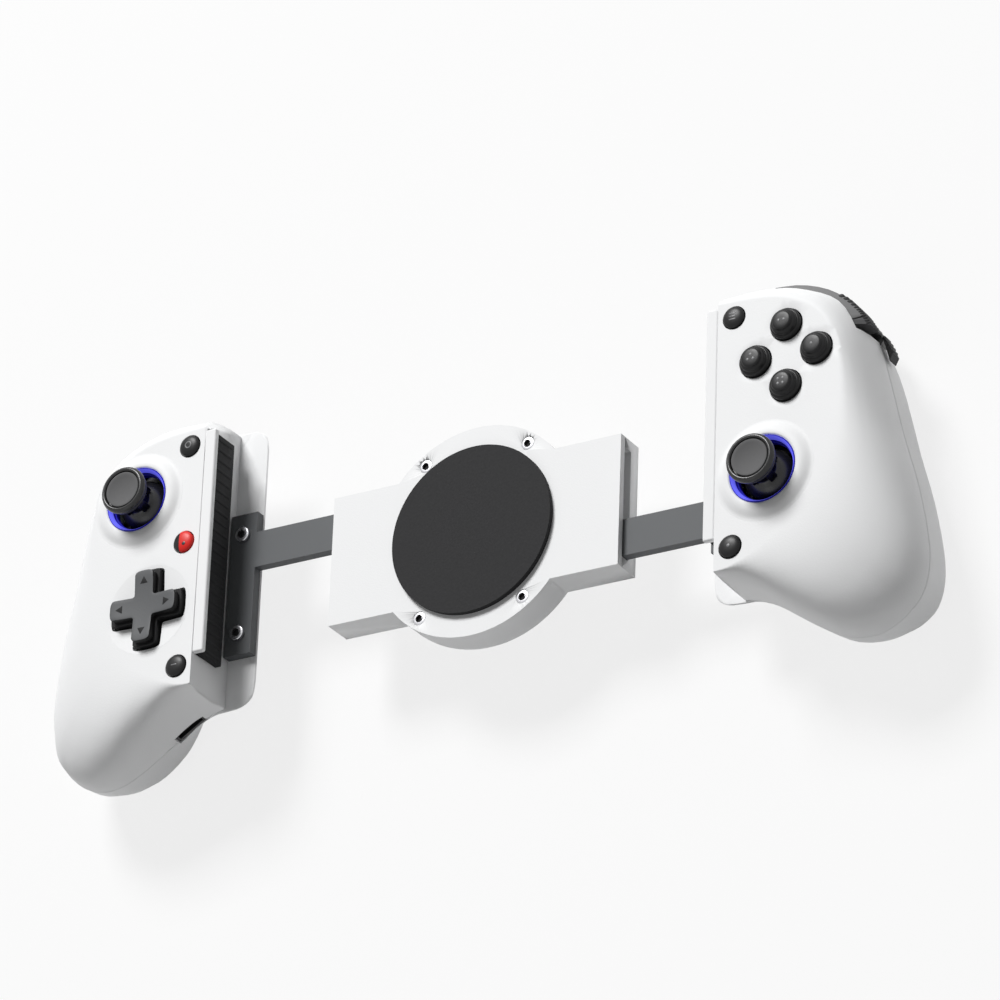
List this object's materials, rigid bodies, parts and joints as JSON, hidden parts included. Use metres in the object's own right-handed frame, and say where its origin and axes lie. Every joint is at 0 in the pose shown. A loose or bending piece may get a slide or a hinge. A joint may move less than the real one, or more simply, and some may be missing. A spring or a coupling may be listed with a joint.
{
  "type": "mobile game controller",
  "caption": "Stretch-fit phone game controller: white left and right grips with sticks, buttons, bumpers and triggers, joined by a sliding bridge with a round hub behind the phone.",
  "frame": {"origin": "middle of the footprint, on the table that the part lies on", "axes": "+X to the player's right along the phone, +Y to the shoulder buttons, +Z out of the control face"},
  "size_m": [0.2504, 0.0962, 0.0429],
  "materials": {
    "shell_white": "fine satin grain",
    "lip_white": "satin",
    "pad_rubber": "matt",
    "bumper_grey": "satin, ribbed",
    "trigger_black": "satin, ribbed",
    "button_black": "gloss",
    "dpad_grey": "satin",
    "ring_blue": "translucent gloss",
    "stick_black": "matt with a satin top",
    "capture_red": "gloss",
    "steel": "brushed",
    "brass": "bright",
    "board_green": "solder mask",
    "battery_foil": "foil",
    "inner_grey": "plain",
    "arm_grey": "satin"
  },
  "bodies": {
    "hub": {"hub_back_cover": "shell_white", "hub_front_plate": "shell_white", "hub_pad": "pad_rubber", "hub_screws": "steel", "pinion_axle": "steel"},
    "sync_pinion": {"sync_pinion": "brass"},
    "left_grip": {"left_front_shell": "shell_white", "left_back_shell": "shell_white", "left_board": "board_green", "left_shell_screws": "steel", "left_clamp_lip": "lip_white", "left_clamp_pad": "pad_rubber", "left_arm": "arm_grey", "left_arm_screws": "steel", "left_stick_ring": "ring_blue", "left_stick_housing": "inner_grey", "left_bumper_pin": "steel", "left_trigger_pin": "steel", "left_trigger_bracket": "inner_grey", "left_switches": "brass", "dpad_cradle": "inner_grey", "charge_port": "steel", "battery": "battery_foil"},
    "right_grip": {"right_front_shell": "shell_white", "right_back_shell": "shell_white", "right_board": "board_green", "right_shell_screws": "steel", "right_clamp_lip": "lip_white", "right_clamp_pad": "pad_rubber", "right_arm": "arm_grey", "right_arm_screws": "steel", "right_stick_ring": "ring_blue", "right_stick_housing": "inner_grey", "right_bumper_pin": "steel", "right_trigger_pin": "steel", "right_trigger_bracket": "inner_grey", "right_switches": "brass"},
    "left_stick_yoke": {"left_stick_yoke": "inner_grey"},
    "left_stick_pivot": {"left_stick_pivot": "inner_grey"},
    "left_stick": {"left_stick_lever": "inner_grey", "left_stick_cap": "stick_black"},
    "left_bumper": {"left_bumper": "bumper_grey"},
    "left_trigger": {"left_trigger": "trigger_black"},
    "left_upper_button": {"left_upper_button": "button_black"},
    "left_lower_button": {"left_lower_button": "button_black"},
    "capture_button": {"capture_button": "capture_red"},
    "right_stick_yoke": {"right_stick_yoke": "inner_grey"},
    "right_stick_pivot": {"right_stick_pivot": "inner_grey"},
    "right_stick": {"right_stick_lever": "inner_grey", "right_stick_cap": "stick_black"},
    "right_bumper": {"right_bumper": "bumper_grey"},
    "right_trigger": {"right_trigger": "trigger_black"},
    "right_upper_button": {"right_upper_button": "button_black"},
    "right_lower_button": {"right_lower_button": "button_black"},
    "face_button_right": {"face_button_right": "button_black"},
    "face_button_top": {"face_button_top": "button_black"},
    "face_button_left": {"face_button_left": "button_black"},
    "face_button_bottom": {"face_button_bottom": "button_black"},
    "dpad_rocker": {"dpad_rocker": "inner_grey"},
    "dpad": {"dpad": "dpad_grey"}
  },
  "joints": [
    {"name": "left_slide", "type": "slide", "parent": "hub", "child": "left_grip", "axis": [-1, 0, 0], "range_m": [-0.012, 0.015]},
    {"name": "right_slide", "type": "slide", "parent": "hub", "child": "right_grip", "axis": [1, 0, 0], "range_m": [-0.012, 0.015]},
    {"name": "pinion_spin", "type": "hinge", "parent": "hub", "child": "sync_pinion", "pos_m": [0, 0.00103, 0.0195], "axis": [0, 0, 1], "range_deg": [-172, 215]},
    {"name": "left_stick_tilt_y", "type": "hinge", "parent": "left_grip", "child": "left_stick_yoke", "pos_m": [-0.0948, 0.02453, 0.0272], "axis": [1, 0, 0], "range_deg": [-15, 15], "stiffness_Nm_per_rad": 0.03},
    {"name": "left_stick_tilt_x", "type": "hinge", "parent": "left_stick_yoke", "child": "left_stick_pivot", "pos_m": [-0.0948, 0.02453, 0.0272], "axis": [0, 1, 0], "range_deg": [-15, 15], "stiffness_Nm_per_rad": 0.03},
    {"name": "left_stick_press", "type": "slide", "parent": "left_stick_pivot", "child": "left_stick", "axis": [0, 0, -1], "range_m": [0, 0.0005], "stiffness_N_per_m": 1500},
    {"name": "left_bumper_press", "type": "hinge", "parent": "left_grip", "child": "left_bumper", "pos_m": [-0.08979, 0.0375, 0.0234], "axis": [0, 0, 1], "range_deg": [0, 3], "stiffness_Nm_per_rad": 0.4},
    {"name": "left_trigger_pull", "type": "hinge", "parent": "left_grip", "child": "left_trigger", "pos_m": [-0.09902, 0.03379, 0.0157], "axis": [-0.7601, -0.6498, 0], "range_deg": [0, 10], "stiffness_Nm_per_rad": 0.2},
    {"name": "left_upper_button_press", "type": "slide", "parent": "left_grip", "child": "left_upper_button", "axis": [0, 0, -1], "range_m": [0, 0.0008], "stiffness_N_per_m": 1200},
    {"name": "left_lower_button_press", "type": "slide", "parent": "left_grip", "child": "left_lower_button", "axis": [0, 0, -1], "range_m": [0, 0.0008], "stiffness_N_per_m": 1200},
    {"name": "capture_button_press", "type": "slide", "parent": "left_grip", "child": "capture_button", "axis": [0, 0, -1], "range_m": [0, 0.0008], "stiffness_N_per_m": 1200},
    {"name": "right_stick_tilt_y", "type": "hinge", "parent": "right_grip", "child": "right_stick_yoke", "pos_m": [0.0888, -0.00662, 0.0272], "axis": [1, 0, 0], "range_deg": [-15, 15], "stiffness_Nm_per_rad": 0.03},
    {"name": "right_stick_tilt_x", "type": "hinge", "parent": "right_stick_yoke", "child": "right_stick_pivot", "pos_m": [0.0888, -0.00662, 0.0272], "axis": [0, 1, 0], "range_deg": [-15, 15], "stiffness_Nm_per_rad": 0.03},
    {"name": "right_stick_press", "type": "slide", "parent": "right_stick_pivot", "child": "right_stick", "axis": [0, 0, -1], "range_m": [0, 0.0005], "stiffness_N_per_m": 1500},
    {"name": "right_bumper_press", "type": "hinge", "parent": "right_grip", "child": "right_bumper", "pos_m": [0.08979, 0.0375, 0.0234], "axis": [0, 0, -1], "range_deg": [0, 3], "stiffness_Nm_per_rad": 0.4},
    {"name": "right_trigger_pull", "type": "hinge", "parent": "right_grip", "child": "right_trigger", "pos_m": [0.09902, 0.03379, 0.0157], "axis": [-0.7601, 0.6498, 0], "range_deg": [0, 10], "stiffness_Nm_per_rad": 0.2},
    {"name": "right_upper_button_press", "type": "slide", "parent": "right_grip", "child": "right_upper_button", "axis": [0, 0, -1], "range_m": [0, 0.0008], "stiffness_N_per_m": 1200},
    {"name": "right_lower_button_press", "type": "slide", "parent": "right_grip", "child": "right_lower_button", "axis": [0, 0, -1], "range_m": [0, 0.0008], "stiffness_N_per_m": 1200},
    {"name": "face_button_right_press", "type": "slide", "parent": "right_grip", "child": "face_button_right", "axis": [0, 0, -1], "range_m": [0, 0.0008], "stiffness_N_per_m": 1200},
    {"name": "face_button_top_press", "type": "slide", "parent": "right_grip", "child": "face_button_top", "axis": [0, 0, -1], "range_m": [0, 0.0008], "stiffness_N_per_m": 1200},
    {"name": "face_button_left_press", "type": "slide", "parent": "right_grip", "child": "face_button_left", "axis": [0, 0, -1], "range_m": [0, 0.0008], "stiffness_N_per_m": 1200},
    {"name": "face_button_bottom_press", "type": "slide", "parent": "right_grip", "child": "face_button_bottom", "axis": [0, 0, -1], "range_m": [0, 0.0008], "stiffness_N_per_m": 1200},
    {"name": "dpad_tilt_y", "type": "hinge", "parent": "left_grip", "child": "dpad_rocker", "pos_m": [-0.0895, -0.00747, 0.0295], "axis": [1, 0, 0], "range_deg": [-4, 4], "stiffness_Nm_per_rad": 0.2},
    {"name": "dpad_tilt_x", "type": "hinge", "parent": "dpad_rocker", "child": "dpad", "pos_m": [-0.0895, -0.00747, 0.0295], "axis": [0, 1, 0], "range_deg": [-4, 4], "stiffness_Nm_per_rad": 0.2}
  ],
  "couplings": [
    {"joint": "right_slide", "follows": "left_slide", "ratio": 1},
    {"joint": "pinion_spin", "follows": "left_slide", "rad_per_m": 250}
  ]
}
